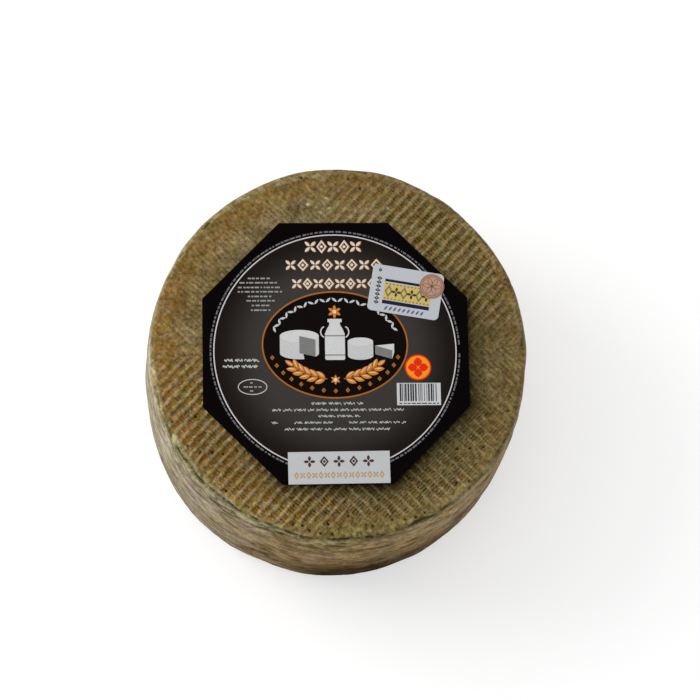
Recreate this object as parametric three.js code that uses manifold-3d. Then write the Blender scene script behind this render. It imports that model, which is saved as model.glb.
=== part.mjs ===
// A wheel of aged pressed cheese with the papers stuck on its upper face.
// Millimetres, +Z up. The origin is under the middle of the wheel, on the surface it rests on,
// and +Y is the upright direction of the label.

import * as THREE from "three";
import { mergeVertices } from "three/addons/utils/BufferGeometryUtils.js";
import Module from "manifold-3d";

const wasm = await Module();
wasm.setup();

// The wheel: a low barrel, a little out of round
const WHEEL_HEIGHT = 100;
const WHEEL_RADIUS = 103.6; // at mid height, the mean of all directions
const BARREL = 1.6; // both rims are this much smaller in radius than the middle
const SHOULDER_WIDE = 4; // rounding where the side turns into a face, across
const SHOULDER_HIGH = 3.8; // and up
const OVAL = 1.1; // what the radius gains along OVAL_AT, and loses across it
const OVAL_AT = 81; // degrees from +X
const DENTS = [
  // where the wheel was pressed in (minus) or out, in millimetres; at and wide are in degrees
  { at: -112, by: -1.0, wide: 7 },
  { at: -140, by: 0.6, wide: 9 },
  { at: -40, by: 0.6, wide: 9 },
  { at: -6, by: -0.8, wide: 10 },
  { at: 74, by: 0.4, wide: 8 },
  { at: 103, by: 0.4, wide: 6 },
];
const SEGMENTS = 96;
const SIDE_STEPS = 8;

// The crease halfway over each shoulder, where the mould's lid met its band
const CREASE_TURN = 45; // degrees round the shoulder from the side
const CREASE_HALF = 17; // degrees from its middle to either edge
const CREASE_DEPTH = 1;

// The mould's marks on both faces: ribs in four quarters that meet in chevrons. Each quarter
// has its first and last angle and the way its ribs run, in degrees from +X, the ribs' pitch,
// how far across one rib lies from the axis, and the share of depth worn off the upper face.
const QUARTERS = [
  { first: 2.1, last: 94, way: 47.75, pitch: 4.775, offset: 1.94, worn: 0.2 },
  { first: 94, last: 181.8, way: 134.75, pitch: 4.825, offset: 3.97, worn: 0.65 },
  { first: 181.8, last: 272.4, way: 226.75, pitch: 4.725, offset: 3.86, worn: 0 },
  { first: 272.4, last: 362.1, way: 315, pitch: 4.85, offset: 4.33, worn: 0.15 },
];
const GROOVE_WIDTH = 3; // at its mouth, so a rib is about 1.8 wide
const GROOVE_DEPTH = 0.9;
const GROOVE_SLOPE = 0.45; // how far each wall leans over the groove's depth
const GROOVE_END = 97.2; // radius where the grooves run out, on average
const GROOVE_END_SPREAD = 1.2; // they end this much sooner or later
const SEAM_HALF = 0.9; // half the smooth seam between two quarters, along a groove
const SHORTEST_GROOVE = 5;

// The papers
const LABEL_ACROSS = 142; // the octagon, across its flats
const LABEL_STRETCH = 1.0127; // it is this much longer upright
const LABEL_THICK = 0.4;
const LABEL_AT = { x: -1.59, y: -0.2 };
// Places are from the label's middle, and turns are in degrees.
const STRIP = { width: 53.9, height: 17.4, thick: 0.3, x: 0.6, y: -62.9, turn: 0.6 };
const STICKER = { width: 38.5, height: 25.9, thick: 0.3, corner: 2.6, x: 38.1, y: 33.1, turn: -9.8 };
const SEAL = { width: 13.2, height: 13.8, thick: 0.2, x: 52.2, y: 36.2, turn: -9.8, sides: 40 };

const FACE_RADIUS = WHEEL_RADIUS - BARREL - SHOULDER_WIDE;

const radians = THREE.MathUtils.degToRad;

// A smooth hump, 1 at the middle and dying away over a few widths, on the circle of angles.
function hump(angle, middle, width) {
  const away = Math.atan2(Math.sin(angle - middle), Math.cos(angle - middle));
  return Math.exp(-((away / width) ** 2));
}

// A repeatable number from -1 to 1 for each index, for the unevenness of pressed food.
function uneven(index) {
  const far = Math.sin(index * 12.9898 + 4.1) * 43758.5453;
  return 2 * (far - Math.floor(far)) - 1;
}

// How far the wheel's side stands out at an angle, as a share of its mean radius.
function roundness(angle) {
  const oval = OVAL * Math.cos(2 * (angle - radians(OVAL_AT)));
  const dents = DENTS.reduce(
    (sum, dent) => sum + dent.by * hump(angle, radians(dent.at), radians(dent.wide)),
    0,
  );
  return (WHEEL_RADIUS + oval + dents) / WHEEL_RADIUS;
}

// Low waves round the side, from the band the curd was pressed in, none at the two rims.
function sideWave(angle, height) {
  const share = Math.sin((Math.PI * height) / WHEEL_HEIGHT) ** 2;
  const slow = Math.sin(9 * angle + height / 9);
  const quick = Math.sin(17 * angle - height / 5 + 1.3);
  const bands = Math.cos((2 * Math.PI * height) / 21);
  return share * (0.2 * slow + 0.12 * quick + 0.22 * bands);
}

// The barrel's radius at a height before its rims are rounded.
function barrel(height) {
  return WHEEL_RADIUS - BARREL * (2 * (height / WHEEL_HEIGHT) - 1) ** 2;
}

// The upper half of the wheel's outline, from mid height to the middle of the face.
function upperOutline() {
  const middle = WHEEL_HEIGHT / 2;
  const sideTop = WHEEL_HEIGHT - SHOULDER_HIGH;
  const points = [];
  for (let step = 0; step < SIDE_STEPS / 2; step++) {
    const height = middle + ((sideTop - middle) * step) / (SIDE_STEPS / 2);
    points.push(new THREE.Vector2(barrel(height), height));
  }
  const turns = [0, CREASE_TURN - CREASE_HALF, CREASE_TURN, CREASE_TURN + CREASE_HALF, 90];
  for (const turn of turns) {
    const sunk = turn === CREASE_TURN ? CREASE_DEPTH : 0;
    const out = (SHOULDER_WIDE - sunk) * Math.cos(radians(turn));
    const up = (SHOULDER_HIGH - sunk) * Math.sin(radians(turn));
    points.push(new THREE.Vector2(FACE_RADIUS + out, sideTop + up));
  }
  points.push(new THREE.Vector2(0, WHEEL_HEIGHT));
  return points;
}

// A geometry as a solid: one shared vertex at each place, and no collapsed triangles.
function solidOf(geometry) {
  const bare = geometry.clone();
  bare.deleteAttribute("normal");
  bare.deleteAttribute("uv");
  const merged = mergeVertices(bare, 1e-4);
  const corners = merged.index.array;
  const kept = [];
  for (let i = 0; i < corners.length; i += 3) {
    const [a, b, c] = corners.slice(i, i + 3);
    if (a !== b && b !== c && c !== a) kept.push(a, b, c);
  }
  const mesh = new wasm.Mesh({
    numProp: 3,
    vertProperties: new Float32Array(merged.attributes.position.array),
    triVerts: new Uint32Array(kept),
  });
  return new wasm.Manifold(mesh);
}

// A solid back as a geometry.
function geometryOf(solid) {
  const mesh = solid.getMesh();
  const geometry = new THREE.BufferGeometry();
  geometry.setAttribute("position", new THREE.BufferAttribute(mesh.vertProperties, 3));
  geometry.setIndex(new THREE.BufferAttribute(mesh.triVerts, 1));
  geometry.computeVertexNormals();
  return geometry;
}

// The bare wheel: its outline turned about Z, then pressed out of round and waved.
function bareWheel() {
  const upper = upperOutline();
  const lower = upper.slice(1).map((point) => new THREE.Vector2(point.x, WHEEL_HEIGHT - point.y));
  const outline = [...lower.reverse(), ...upper];
  const geometry = new THREE.LatheGeometry(outline, SEGMENTS).rotateX(Math.PI / 2);
  const place = geometry.attributes.position;
  for (let i = 0; i < place.count; i++) {
    const radius = Math.hypot(place.getX(i), place.getY(i));
    const angle = Math.atan2(place.getY(i), place.getX(i));
    const height = place.getZ(i);
    const side = radius > FACE_RADIUS ? sideWave(angle, height) : 0;
    const pressed = radius * roundness(angle) + side;
    place.setXYZ(i, pressed * Math.cos(angle), pressed * Math.sin(angle), height);
  }
  return geometry;
}

// One groove between two ribs: a bar lying across the face, with leaning walls. Its inner end
// is mitred to lie along the seam, with mitre as the seam's run along the bar for each step
// across it. It is widest where it opens, upwards for a facing of 1 and downwards for -1.
function grooveBar(length, depth, mitre, facing) {
  const bar = new THREE.BoxGeometry(length, GROOVE_WIDTH, 2 * depth);
  const place = bar.attributes.position;
  for (let i = 0; i < place.count; i++) {
    const lean = GROOVE_SLOPE * Math.sign(place.getZ(i)) * facing;
    const along = place.getX(i);
    const across = place.getY(i);
    const slant = along < 0 ? mitre * across : 0;
    place.setX(i, along + slant + Math.sign(along) * lean);
    place.setY(i, across + Math.sign(across) * lean);
  }
  return bar;
}

// The grooves of one quarter of a face, cut about the plane z = 0.
function quarterGrooves(quarter, seed, facing) {
  const bars = [];
  const way = radians(quarter.way);
  const reach = Math.ceil(GROOVE_END / quarter.pitch);
  for (let row = -reach; row < reach; row++) {
    const across = quarter.offset + (row + 0.5) * quarter.pitch;
    const seam = radians((across > 0 ? quarter.last : quarter.first) - quarter.way);
    const index = seed + row;
    const rim = roundness(way + Math.asin(across / GROOVE_END));
    const end = (GROOVE_END + GROOVE_END_SPREAD * uneven(index)) * rim;
    const from = across / Math.tan(seam) + SEAM_HALF;
    const to = Math.sqrt(end * end - across * across);
    if (!(to - from > SHORTEST_GROOVE)) continue;
    const left = facing > 0 ? 1 - quarter.worn : 1;
    const depth = GROOVE_DEPTH * left * (1 + 0.15 * uneven(index + 0.5));
    const bar = grooveBar(to - from, depth, 1 / Math.tan(seam), facing);
    bars.push(bar.translate((from + to) / 2, across, 0).rotateZ(way));
  }
  return bars;
}

// The wheel with the mould's grooves in both faces.
function cheeseWheel() {
  const above = QUARTERS.flatMap((quarter, i) => quarterGrooves(quarter, 97 * i, 1));
  const below = QUARTERS.flatMap((quarter, i) => quarterGrooves(quarter, 500 + 97 * i, -1));
  for (const bar of above) bar.translate(0, 0, WHEEL_HEIGHT);
  const cutter = [...above, ...below].map(solidOf).reduce((all, bar) => all.add(bar));
  return geometryOf(solidOf(bareWheel()).subtract(cutter));
}

// The octagonal label: a regular octagon, drawn out a little upright.
function octagonLabel() {
  const shape = new THREE.Shape();
  const corner = LABEL_ACROSS / 2 / Math.cos(Math.PI / 8);
  for (let i = 0; i < 8; i++) {
    const angle = (Math.PI / 4) * (i + 0.5);
    const x = corner * Math.cos(angle);
    const y = corner * Math.sin(angle) * LABEL_STRETCH;
    if (i === 0) shape.moveTo(x, y);
    else shape.lineTo(x, y);
  }
  return new THREE.ExtrudeGeometry(shape, { depth: LABEL_THICK, bevelEnabled: false });
}

// The rounded sticker: a rectangle with quarter-circle corners.
function roundedSticker({ width, height, thick, corner }) {
  const shape = new THREE.Shape();
  const x = width / 2 - corner;
  const y = height / 2 - corner;
  shape.absarc(x, y, corner, 0, Math.PI / 2);
  shape.absarc(-x, y, corner, Math.PI / 2, Math.PI);
  shape.absarc(-x, -y, corner, Math.PI, 1.5 * Math.PI);
  shape.absarc(x, -y, corner, 1.5 * Math.PI, 2 * Math.PI);
  return new THREE.ExtrudeGeometry(shape, { depth: thick, bevelEnabled: false, curveSegments: 6 });
}

// The foil seal: a thin upright oval disc.
function ovalSeal({ width, height, thick, sides }) {
  const disc = new THREE.CylinderGeometry(0.5, 0.5, thick, sides).rotateX(Math.PI / 2);
  return disc.scale(width, height, 1).translate(0, 0, thick / 2);
}

function piece(name, geometry, color, roughness, metalness = 0) {
  const material = new THREE.MeshStandardMaterial({ color, roughness, metalness });
  const mesh = new THREE.Mesh(geometry, material);
  mesh.name = name;
  return mesh;
}

const wheel = piece("cheese_wheel", cheeseWheel(), 0x857349, 0.8);

const label = piece("label", octagonLabel(), 0x1c191a, 0.35);

const strip = piece(
  "label_strip",
  new THREE.BoxGeometry(STRIP.width, STRIP.height, STRIP.thick).translate(0, 0, STRIP.thick / 2),
  0xdcdee4,
  0.5,
);
strip.position.set(STRIP.x, STRIP.y, LABEL_THICK);
strip.rotation.z = radians(STRIP.turn);

const sticker = piece("seal_sticker", roundedSticker(STICKER), 0xdfe0e8, 0.4);
sticker.position.set(STICKER.x, STICKER.y, LABEL_THICK);
sticker.rotation.z = radians(STICKER.turn);

const seal = piece("foil_seal", ovalSeal(SEAL), 0xb98a72, 0.35, 0.6);
seal.position.set(SEAL.x, SEAL.y, LABEL_THICK + STICKER.thick);
seal.rotation.z = radians(SEAL.turn);

const papers = new THREE.Group();
papers.position.set(LABEL_AT.x, LABEL_AT.y, WHEEL_HEIGHT);
papers.add(label, strip, sticker, seal);

// The wheel is pressed unevenly, so the whole is moved until its middle is over the origin.
const cheese = new THREE.Group();
cheese.add(wheel, papers);
const middle = new THREE.Box3().setFromObject(wheel).getCenter(new THREE.Vector3());
cheese.position.set(-middle.x, -middle.y, 0);

export default cheese;
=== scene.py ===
"""A wheel of aged pressed cheese with the papers stuck on its upper face.

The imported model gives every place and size; this script gives the looks. Lengths are in
millimetres, in the model's own frame, and become metres where a mesh is made.
"""

import math

import bpy
import numpy as np
from mathutils import Matrix, Vector


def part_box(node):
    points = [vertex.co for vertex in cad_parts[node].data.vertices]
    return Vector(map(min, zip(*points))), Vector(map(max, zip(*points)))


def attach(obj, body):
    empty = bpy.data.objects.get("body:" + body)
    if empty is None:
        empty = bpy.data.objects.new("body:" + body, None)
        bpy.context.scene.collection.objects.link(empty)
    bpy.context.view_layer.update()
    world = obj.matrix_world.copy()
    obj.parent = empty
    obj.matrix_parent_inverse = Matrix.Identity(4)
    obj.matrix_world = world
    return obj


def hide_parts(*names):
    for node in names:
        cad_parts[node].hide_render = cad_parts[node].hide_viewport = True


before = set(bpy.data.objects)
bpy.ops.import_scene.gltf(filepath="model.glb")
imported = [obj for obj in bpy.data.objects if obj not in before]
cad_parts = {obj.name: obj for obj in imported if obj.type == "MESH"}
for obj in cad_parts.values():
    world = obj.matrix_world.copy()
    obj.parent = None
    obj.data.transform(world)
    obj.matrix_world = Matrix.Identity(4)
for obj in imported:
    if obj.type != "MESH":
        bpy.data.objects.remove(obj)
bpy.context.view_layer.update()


# The view
# A long lens looks down on the upper face from high in front and a little to the left, with the
# camera rolled. Azimuth, elevation and roll are in degrees.
PHOTO_SIDE = 700  # pixels
AZIMUTH = -12.93
ELEVATION = 75.25
ROLL = 12.27
DISTANCE = 1700
FOCAL_PIXELS = 3189
AIM_PIXEL = (338.8, 352.1)  # where the middle of the upper face lies in the photograph
LABEL_FROM_AXIS = (-1.59, -0.2)  # the label was stuck on this far from the wheel's axis
METRES = 0.001


def middle_of(node):
    """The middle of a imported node's box, in millimetres."""
    low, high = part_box(node)
    return np.array((low + high) / 2) / METRES


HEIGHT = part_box("cheese_wheel")[1][2] / METRES
AXIS = middle_of("label")[:2] - LABEL_FROM_AXIS

azimuth, elevation, roll = (math.radians(angle) for angle in (AZIMUTH, ELEVATION, ROLL))
back = Vector((
    math.sin(azimuth) * math.cos(elevation),
    -math.cos(azimuth) * math.cos(elevation),
    math.sin(elevation),
))
level = Vector((0, 0, 1)).cross(back).normalized()
upright = back.cross(level)
right = level * math.cos(roll) + upright * math.sin(roll)
up = upright * math.cos(roll) - level * math.sin(roll)

lens = bpy.data.cameras.new("photo_camera")
lens.sensor_width = 36
lens.lens = FOCAL_PIXELS / PHOTO_SIDE * lens.sensor_width
lens.shift_x = 0.5 - AIM_PIXEL[0] / PHOTO_SIDE
lens.shift_y = AIM_PIXEL[1] / PHOTO_SIDE - 0.5
camera = bpy.data.objects.new("photo_camera", lens)
aim = Vector((AXIS[0], AXIS[1], HEIGHT)) * METRES
camera.matrix_world = Matrix.Translation(aim + back * DISTANCE * METRES) @ Matrix(
    (right, up, back)
).transposed().to_4x4()
bpy.context.scene.collection.objects.link(camera)
bpy.context.scene.camera = camera


# The wheel
# One block of pressed ewe's-milk curd with a dry, oiled rind. The mould's lid and base pressed
# ribs into both faces, in four quarters that meet in chevrons, and a woven band marked the side.
RADIUS = 103.6
BARREL = 1.6  # how far the side swells between the rims
SHOULDER_WIDE = 4
SHOULDER_HIGH = 3.8
FACE_EDGE = RADIUS - BARREL - SHOULDER_WIDE
OVAL = 1.1  # how far it is out of round, longest at OVAL_AT degrees
OVAL_AT = 81
# Where it was pressed in or out: an angle, how far, and half a width in degrees
DENTS = [(-112, -1.0, 7), (-140, 0.6, 9), (-40, 0.6, 9), (-6, -0.8, 10), (74, 0.4, 8), (103, 0.4, 6)]
FINEST = 880  # columns round the wheel where the pattern shows best

# The four quarters, from the upper right one on: the seam that each starts at, the way its ribs
# run, their pitch, and how far across one rib lies from the wheel's axis
SEAMS = np.array([2.1, 94.0, 181.8, 272.4])
RIB_WAY = np.radians([47.75, 134.75, 226.75, 315.0])
RIB_PITCH = np.array([4.775, 4.825, 4.725, 4.85])
RIB_START = np.array([1.94, 3.97, 3.86, 4.33])
MEAN_PITCH = RIB_PITCH.mean()
RUNG_PITCH = 1.67  # the weave's cross threads, between the ribs
RIB_DEPTH = 0.9
RIB_SLOPE = 0.85  # from a rib's top down to the groove's floor
GROOVE_END = 98.2  # the radius where the grooves run out, give or take GROOVE_SPREAD
GROOVE_SPREAD = 1.1
WORN_FROM, WORN_TO = (74, 79), (96, 99)  # the face is worn between these radii
BASE_RIB_HALF = 0.8
BASE_GROOVES_FROM, BASE_GROOVES_TO = (3, 8), (95.5, 97)
CREASE_AT = (100.8, 98.9)  # radius and height of the crease halfway over the shoulder
CREASE_DEPTH = 1.1
CREASE_HALF = 1.15
SECOND_CREASE_DROP = 4.5  # a second crease runs this far down the side from the first
SECOND_CREASE_HALF = 0.9
LIP_DROP, LIP_HALF = 1.5, 6.5  # the pale, scuffed band round the crease

# How the rind changes round the wheel, at these angles. On the face: how well the ribs stand,
# half a rib's width, how ochre the grooves are, how well the rungs show, how far the grooves'
# ends have crumbled, how brown the face is towards the rim and how much paler there, how pale the
# very rim is, how pale the whole face, and how dark the label's painted shadow is beside its
# lower and right edges, and how far out it reaches. On the side: how open the crease is, how brown
# and how pale the side is, how dark the painted shade at its foot, and how much bloom it has.
ROUND = [-45, -20, -8, 6, 14, 35, 60, 80, 92, 100, 140, 175, 186, 200, 230, 250, 266, 275, 300]
CHANGES = dict(
    stand=[.75, .6, .15, .2, .75, .92, .8, .75, .4, .2, .15, .25, .8, 1, 1, 1, .9, .8, .8],
    rib_half=[.3, .25, .3, .45, .6, .65, .65, .65, .6, .6, .6, .6, .65, .65, .62, .6, .5, .42, .35],
    ochre=[.1, .1, .2, .2, .35, .5, .5, .5, .4, .4, .5, .7, 1, 1, 1, .9, .6, .3, .15],
    rungs=[1, .9, .6, .5, .7, .9, .8, .6, .3, .2, .2, .3, .4, .45, .6, .8, 1, 1, 1],
    crumbs=[.15, .15, .1, .1, .05, .05, .05, .2, .3, .2, .1, .2, .2, .2, .2, .25, .75, .9, .3],
    warm=[.1, .35, .35, .25, .2, .15, .2, .5, .6, .5, .85, .95, .65, .45, .2, .15, .15, .15, .1],
    rim_tone=[
        .1, -.03, -.03, .03, 0, .02, -.02, -.05, -.05, 0, -.05, .05, .12, .12, .22, .15, 0, .1, .15,
    ],
    pale_rim=[.3, .3, .3, .2, .2, .2, .2, .2, .3, .4, .45, .5, .6, .9, 1, .9, .6, .4, .3],
    tone=[
        .98, .98, .88, .86, .88, .93, .98, 1.06, 1.08, 1.12, 1, 1.05, 1.02, .97, .82, 1.08, 1, .96, .96,
    ],
    painted_label_shadow=[.79, .73, .7, .69, .66, .34, 0, 0, 0, 0, 0, 0, 0, 0, .12, .66, .8, .8, .78],
    label_shadow_reach=[8, 8.8, 9.4, 8, 6.8, 5.5, 5, 5, 5, 5, 5, 5, 5, 5, 6, 5.8, 5.4, 5.4, 7.2],
    crease_open=[.4, .3, .3, .3, .3, .4, .3, .3, .3, .3, .3, .2, .1, .4, 1, 1, .8, .55, .45],
    brown=[1, .8, .8, .8, .7, .5, .4, .4, .4, .4, .3, .1, 0, 0, .45, .9, 1, 1, 1],
    side_tone=[1.02, .97, 1, 1, 1, 1, 1, 1, 1, 1, 1, .93, .93, 1, .95, 1, .98, 1, 1.1],
    painted_foot_shade=[.45, .45, .4, .35, .35, .35, .35, .35, .35, .35, .35, .3, .3, .3, .1, .22, 1, 1.15, .72],
    rosy=[.7, .8, .6, .4, .3, .3, .3, .3, .3, .3, .2, .1, .1, .1, 0, 0, 0, .15, .4],
)

# Holes where the curd didn't close at the grooves' ends: angle and radius
HOLES = np.array([
    (-105.4, 96.7), (-102.5, 96.1), (-100.1, 98.1), (-96.6, 98.8), (-93, 98.5), (-94.4, 93.3),
    (-87.8, 88.9), (-80.1, 95.7), (-73.7, 94.9), (-69.9, 97), (-40.5, 81.6), (-37.3, 86.7),
    (-34.4, 92.1), (-19.9, 95.6), (85.9, 97.1), (81.8, 92.4), (100.7, 99.2), (-147.9, 95.4),
    (-144, 91.8), (-141.4, 86.6), (-138.5, 83), (-135.7, 76.3), (-155.7, 84.1), (-129, 96.3),
    (-157.1, 96.3), (-63.3, 97.8), (-66.5, 98), (-49.4, 93.8), (-46.2, 98),
])
HOLE_WIDE = 0.7
HOLE_DEEP = 1.1
SIDE_ROWS = [(77, 17), (68, 26), (57, 19), (44, 31), (31, 25), (18, 30)]  # height, mean spacing
# Small pale flecks of mould: angle and radius
FLECKS = np.array([
    (93.5, 86.3), (92.6, 80.6), (96.2, 78.2), (70.9, 85.1), (67.1, 76.3), (-85.5, 75.1),
    (52.3, 76.5), (100.5, 84), (-141, 75.8), (-33, 75.5),
])
FLECK_WIDE = 0.8
FLECK_FLAT = 1.4  # they are this much longer along x
LATTICE = 64  # cells each way before the random relief repeats


def lumps(places, size, seed):
    """Smooth random relief from -1 to 1: a random value at each corner of a lattice of cells of
    that size, blended across each cell along each axis by the share 3t^2 - 2t^3."""
    draw = np.random.default_rng(seed).uniform(-1, 1, (LATTICE, LATTICE, LATTICE))
    cell = places / size + 500
    whole = np.floor(cell).astype(int)
    share = (cell - whole) ** 2 * (3 - 2 * (cell - whole))
    total = np.zeros(len(places))
    for corner in np.ndindex(2, 2, 2):
        weight = np.where(corner, share, 1 - share).prod(1)
        at = (whole + corner) % LATTICE
        total += weight * draw[at[:, 0], at[:, 1], at[:, 2]]
    return total


def rise(value, start, end):
    """0 before start and 1 after end, by the share 3t^2 - 2t^3 between them."""
    share = np.clip((value - start) / (end - start), 0, 1)
    return share * share * (3 - 2 * share)


def roundness(angle):
    """The wheel's radius at an angle as a share of its mean: an oval, plus one bell-shaped hump
    for each place where it was pressed in or out."""
    radius = RADIUS + OVAL * np.cos(2 * (angle - np.radians(OVAL_AT)))
    for at, by, wide in DENTS:
        away = np.angle(np.exp(1j * (angle - np.radians(at))))
        radius = radius + by * np.exp(-((away / np.radians(wide)) ** 2))
    return radius / RADIUS


def side_wave(angle, height):
    """Low waves round the side, none at the rims: two that lean round it and one in bands."""
    share = np.sin(np.pi * height / HEIGHT) ** 2
    slow = 0.2 * np.sin(9 * angle + height / 9)
    quick = 0.12 * np.sin(17 * angle - height / 5 + 1.3)
    return share * (slow + quick + 0.22 * np.cos(2 * np.pi * height / 21))


def weave(places, angle):
    """Where each place lies in its quarter of the mould's pattern: the number of rungs along the
    ribs and of ribs across them, so that a rib lies at each whole number, with a little sway."""
    quarter = np.searchsorted(SEAMS, np.degrees(angle) % 360) - 1
    x, y = places[:, 0], places[:, 1]
    way = RIB_WAY[quarter]
    sway = 0.5 * lumps(places, 12, 3) + 0.3 * lumps(places, 4.5, 4)
    along = np.cos(way) * x + np.sin(way) * y + 0.5 * lumps(places, 6, 5)
    across = np.cos(way) * y - np.sin(way) * x - RIB_START[quarter] + sway
    return along / RUNG_PITCH, across / RIB_PITCH[quarter]


def outline():
    """The wheel's outline from the middle of the upper face, over the rim, down the side and in
    to the middle of the lower face, in bands: each is rows of radius and height, and columns.
    Rows lie 0.64 mm apart where the ribs show, 0.9 down the upper side, and wider elsewhere."""
    arc = np.linspace(0, np.pi / 2, 10)
    shoulder = np.stack([
        FACE_EDGE + SHOULDER_WIDE * np.sin(arc),
        HEIGHT - SHOULDER_HIGH * (1 - np.cos(arc)),
    ], 1)
    upper = np.arange(HEIGHT - SHOULDER_HIGH - 0.8, 84, -0.9)
    lower = np.concatenate([np.arange(82.5, 8, -2.2), np.arange(7.2, SHOULDER_HIGH + 0.3, -1)])
    under = shoulder[::-2] * (1, -1) + (0, HEIGHT)
    under_label, label_edge = np.arange(8, 66, 8), [67.2]
    ribbed = np.arange(68.6, FACE_EDGE - 0.3, 0.64)
    base = [np.arange(96.6, 59, -1.6), np.arange(58, 30, -1.4), np.arange(28.6, 2, -1.6)]

    def barrel(heights):
        return np.stack([RADIUS - BARREL * (2 * heights / HEIGHT - 1) ** 2, heights], 1)

    def flat(radii, height):
        return np.stack([radii, np.full(len(radii), float(height))], 1)

    return [
        (flat(under_label, HEIGHT), FINEST // 4),
        (flat(label_edge, HEIGHT), FINEST // 2),
        (np.concatenate([flat(ribbed, HEIGHT), shoulder, barrel(upper)]), FINEST),
        (np.concatenate([barrel(lower), under, flat(base[0], 0)]), FINEST // 2),
        (flat(base[1], 0), FINEST // 4),
        (flat(base[2], 0), FINEST // 8),
    ]


def lathe(bands):
    """Rows of points round the axis for each band of the outline, a point at each pole, and the
    faces between: quads in a band, and three triangles a column where the columns halve. Returns
    each point's place in the outline, the way that it faces there, its angle, and the faces."""
    rows = np.concatenate([rows for rows, _ in bands])
    columns = np.concatenate([np.full(len(rows), count) for rows, count in bands])
    start = np.concatenate([[0], np.cumsum(columns)])
    row_of = np.repeat(np.arange(len(rows)), columns)
    column_of = np.arange(start[-1]) - start[row_of]
    angle = 2 * np.pi * column_of / columns[row_of]
    ends = np.concatenate([[[0, rows[0, 1]]], rows, [[0, rows[-1, 1]]]])
    lean = (ends[2:] - ends[:-2]) @ np.array([[0, 1], [-1, 0]])
    lean /= np.linalg.norm(lean, axis=1, keepdims=True)
    faces = []
    for row in range(len(rows) - 1):
        inner, outer = columns[row], columns[row + 1]
        few = np.arange(min(inner, outer))
        then = (few + 1) % len(few)
        mid, last = 2 * few + 1, 2 * then
        a, b = start[row], start[row + 1]
        if inner == outer:
            cells = [(a + few, b + few, b + then, a + then)]
        elif inner < outer:
            cells = [(a + few, b + 2 * few, b + mid), (a + few, b + mid, a + then)]
            cells.append((a + then, b + mid, b + last))
        else:
            cells = [(a + 2 * few, b + few, a + mid), (a + mid, b + few, b + then)]
            cells.append((a + mid, b + then, a + last))
        for cell in cells:
            faces += np.stack(cell, 1).tolist()
    first, final = np.arange(columns[0]), start[-2] + np.arange(columns[-1])
    top_pole, low_pole = start[-1], start[-1] + 1
    faces += [[top_pole, i, j] for i, j in zip(first, np.roll(first, -1))]
    faces += [[low_pole, j, i] for i, j in zip(final, np.roll(final, -1))]
    profile = np.concatenate([rows[row_of], [rows[0] * (0, 1), rows[-1] * (0, 1)]])
    lean = np.concatenate([lean[row_of], [[0, 1], [0, -1]]])
    return profile, lean, np.concatenate([angle, [0, 0]]), faces


profile, lean, angle, wheel_faces = lathe(outline())

# The smooth form first, then the relief along its outward direction
radius, height = profile.T
swell = np.where(radius > FACE_EDGE + 0.01, side_wave(angle, height), 0)
radius = radius * roundness(angle) + swell
round_it = np.stack([np.cos(angle), np.sin(angle)], 1)
form = np.column_stack([radius[:, None] * round_it, height])
above = height > HEIGHT / 2
facing = np.abs(lean[:, 1])
along, across = weave(form, angle)
here = {
    name: np.interp(np.degrees(angle) % 360, np.array(ROUND) % 360, values, period=360)
    for name, values in CHANGES.items()
}

# The ribs: thin tops and rounded grooves that run out at uneven radii, worn where weathered,
# with the weave's cross threads low in the grooves
groove_end = GROOVE_END + GROOVE_SPREAD * np.sin(np.floor(across) * 94.4)
patch = 0.5 + 0.5 * lumps(form, 14, 8)
small_patch = 0.5 + 0.5 * lumps(form, 5, 26)
stand = np.clip(here["stand"] * (0.52 + 0.5 * patch + 0.35 * small_patch), 0, 1.05)
stand *= 1 - rise(radius, groove_end - 1, groove_end + 0.4)
crumbs = here["crumbs"]
ragged_radius = radius + 2 * lumps(form, 5, 20)
crumbled = crumbs * rise(ragged_radius, 97 - 9 * crumbs, 99.5 - 6 * crumbs)
stand *= 1 - 0.8 * crumbled
from_rib = np.abs(across - np.round(across)) * MEAN_PITCH
groove = rise(from_rib, here["rib_half"], here["rib_half"] + RIB_SLOPE)
worn = rise(radius, *WORN_FROM) * (1 - rise(radius, *WORN_TO))
cross_thread = 0.5 + 0.5 * np.cos(2 * np.pi * along)
face_relief = -RIB_DEPTH * groove * stand * (1 - 0.3 * here["rungs"] * cross_thread)
face_relief -= 0.35 * worn * (1 - stand)
face_relief -= 0.12 * worn * (1 + lumps(form, 3.2, 9)) + 0.1 * (1 + lumps(form, 1.7, 10))
face_relief -= 0.45 * crumbled * (1 + lumps(form, 2.2, 17))
face_relief -= 0.12 * stand * cross_thread * (1 - groove) * (1 - rise(radius, 97, 99))
base_groove = rise(from_rib, BASE_RIB_HALF, BASE_RIB_HALF + RIB_SLOPE)
base_groove *= rise(radius, *BASE_GROOVES_FROM)
base_groove *= 1 - rise(radius, *BASE_GROOVES_TO)
base_relief = -RIB_DEPTH * base_groove - 0.08 * (1 + lumps(form, 2.5, 11))
face_relief = np.where(above, face_relief, base_relief)


def from_spots(spots, y_times=1):
    """How far each place is from the nearest of some spots, each an angle and a radius, with the
    distance along y counted that many times."""
    spot_angle = np.radians(spots[:, 0])
    return np.hypot(
        form[:, 0, None] - spots[:, 1] * np.cos(spot_angle),
        (form[:, 1, None] - spots[:, 1] * np.sin(spot_angle)) * y_times,
    ).min(1)


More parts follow.
